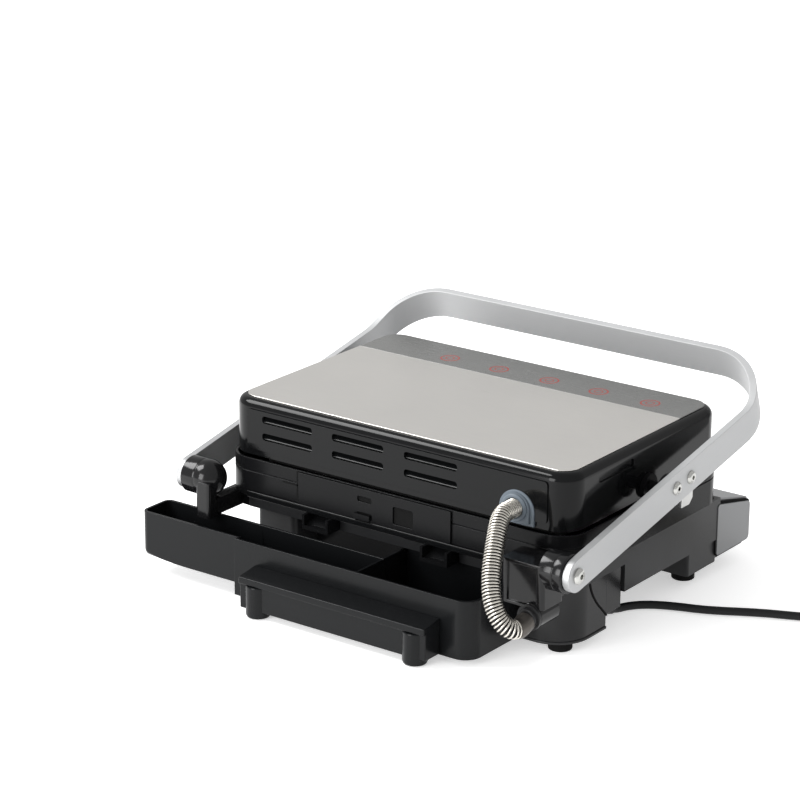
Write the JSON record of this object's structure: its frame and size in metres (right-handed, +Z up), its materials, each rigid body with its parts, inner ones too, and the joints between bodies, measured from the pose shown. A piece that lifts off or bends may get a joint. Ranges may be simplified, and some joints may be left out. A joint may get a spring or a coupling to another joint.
{
  "type": "contact grill",
  "caption": "Contact grill with a floating steel-topped lid on a bent flat-bar handle, armoured lid lead, and a drip tray slid out at the back.",
  "frame": {"origin": "on the table, under the middle of the grill and its pulled-out tray, without the cord", "axes": "+X towards the tray's grip, +Y towards the back with the tray, +Z up"},
  "size_m": [0.583, 0.3885, 0.1874],
  "materials": {
    "gloss_black": "glossy",
    "brushed_steel": "brushed",
    "printed_strip": "glossy",
    "cast_plate": "non-stick coated",
    "heater_sheath": "oxidised",
    "reflector_sheet": "mill",
    "inner_steel": "plated",
    "inner_plastic": "moulded",
    "grommet_grey": "moulded",
    "bush": "moulded",
    "base_black": "satin",
    "lower_black": "satin",
    "boss_black": "glossy",
    "front_steel": "satin",
    "lamp": "clear",
    "knob_black": "satin",
    "foot_rubber": "matt",
    "handle_steel": "brushed",
    "bracket_steel": "satin",
    "screw_steel": "polished",
    "tray_black": "satin",
    "conduit_steel": "wound wire",
    "collar_black": "glossy",
    "cord_black": "matt",
    "tie_black": "satin",
    "pin_brass": "plated"
  },
  "bodies": {
    "base": {"lower_cooking_plate": "cast_plate", "lower_heater": "heater_sheath", "lower_reflector": "reflector_sheet", "base_pillars": "inner_steel", "terminal_block": "inner_plastic", "thermostat": "inner_plastic", "base_shell": "base_black", "rear_cover": "base_black", "rear_ledge": "base_black", "latch_clip": "base_black", "fat_chutes": "base_black", "base_underside": "lower_black", "rear_column": "lower_black", "column_lip": "lower_black", "rear_leg_left": "lower_black", "front_skirt": "lower_black", "control_housing": "lower_black", "housing_cover": "lower_black", "pivot_post_left": "boss_black", "pivot_housing_right": "boss_black", "control_panel": "front_steel", "side_plate_left": "front_steel", "side_plate_right": "front_steel", "pilot_lamp_left": "lamp", "pilot_lamp_right": "lamp", "rubber_feet": "foot_rubber", "pivot_screws": "screw_steel", "pivot_pins": "screw_steel", "conduit": "conduit_steel", "conduit_collar": "collar_black", "power_cord": "cord_black", "cord_coil": "cord_black", "cord_tail": "cord_black", "cord_gland": "cord_black", "power_plug": "cord_black", "cord_tie": "tie_black", "plug_pins": "pin_brass"},
    "handle": {"handle_strap": "handle_steel", "lid_bracket_left": "bracket_steel", "lid_bracket_right": "bracket_steel", "arm_screws": "screw_steel"},
    "lid": {"lid_casing": "gloss_black", "top_plate": "brushed_steel", "front_strip": "printed_strip", "upper_cooking_plate": "cast_plate", "upper_heater": "heater_sheath", "upper_reflector": "reflector_sheet", "lid_pillars": "inner_steel", "lid_terminal_block": "inner_plastic", "conduit_grommet": "grommet_grey", "lid_bush_left": "bush", "lid_bush_right": "bush"},
    "tray": {"drip_tray": "tray_black", "tray_ledge": "tray_black"},
    "knob": {"thermostat_knob": "knob_black"}
  },
  "joints": [
    {"name": "handle_hinge", "type": "hinge", "parent": "base", "child": "handle", "pos_m": [-0.0109, 0.13205, 0.0873], "axis": [-1, 0, 0], "range_deg": [0, 95], "deforming": ["conduit"]},
    {"name": "lid_float", "type": "hinge", "parent": "handle", "child": "lid", "pos_m": [-0.0109, -0.00825, 0.1153], "axis": [-1, 0, 0], "range_deg": [-9.5, 0]},
    {"name": "tray_slide", "type": "slide", "parent": "base", "child": "tray", "axis": [0, 1, 0], "range_m": [-0.05, 0.03]},
    {"name": "knob_turn", "type": "hinge", "parent": "base", "child": "knob", "pos_m": [-0.0109, -0.18455, 0.034], "axis": [0, -1, 0], "range_deg": [0, 270]}
  ],
  "couplings": [
    {"joint": "lid_float", "follows": "handle_hinge", "ratio": -0.1}
  ]
}
